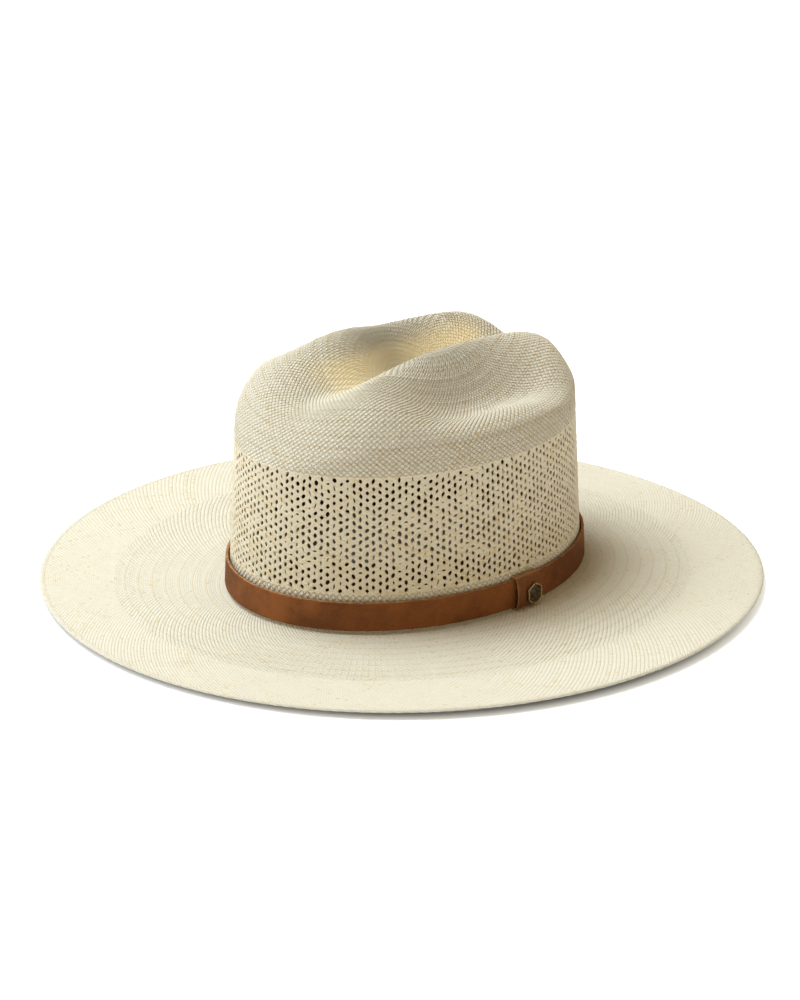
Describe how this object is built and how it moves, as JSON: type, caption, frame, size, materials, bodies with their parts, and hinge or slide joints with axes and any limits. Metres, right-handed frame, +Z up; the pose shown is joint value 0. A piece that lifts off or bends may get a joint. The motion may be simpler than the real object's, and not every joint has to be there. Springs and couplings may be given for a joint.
{
  "type": "panama hat",
  "caption": "Wide flat-brimmed woven straw hat with a creased, vented crown, a leather band with a hexagonal stud and a leather sweatband inside.",
  "frame": {"origin": "on the surface the hat stands on, at the middle of the brim's outline", "axes": "+Z up through the crown, -Y towards the front of the hat, +X towards the wearer's left, where the band's stud is"},
  "size_m": [0.388, 0.39, 0.1333],
  "materials": {
    "straw": "matt natural cream straw, woven, with a faint waxy sheen",
    "sweatband_leather": "smooth dark brown leather, satin",
    "reed": "pale flexible cane-like plastic cord",
    "tape": "tan cotton tape",
    "thread": "waxed tan thread",
    "ribbon": "dark brown grosgrain ribbon",
    "band_leather": "warm brown nubuck with raw tan cut edges",
    "stud_brass": "antique brass, darkened in the recess and bright on the rim"
  },
  "bodies": {
    "hat": {"straw_body": "straw", "sweatband": "sweatband_leather", "sweatband_reed": "reed", "reed_tape": "tape", "sweatband_stitches": "thread", "seam_stitches": "thread", "seam_bow": "ribbon"},
    "hatband": {"strap": "band_leather", "keeper": "band_leather", "stud_cap": "stud_brass", "stud_post": "stud_brass"}
  },
  "joints": [
    {"name": "band_lift", "type": "slide", "parent": "hat", "child": "hatband", "axis": [0, 0, 1], "range_m": [0, 0.135]}
  ]
}
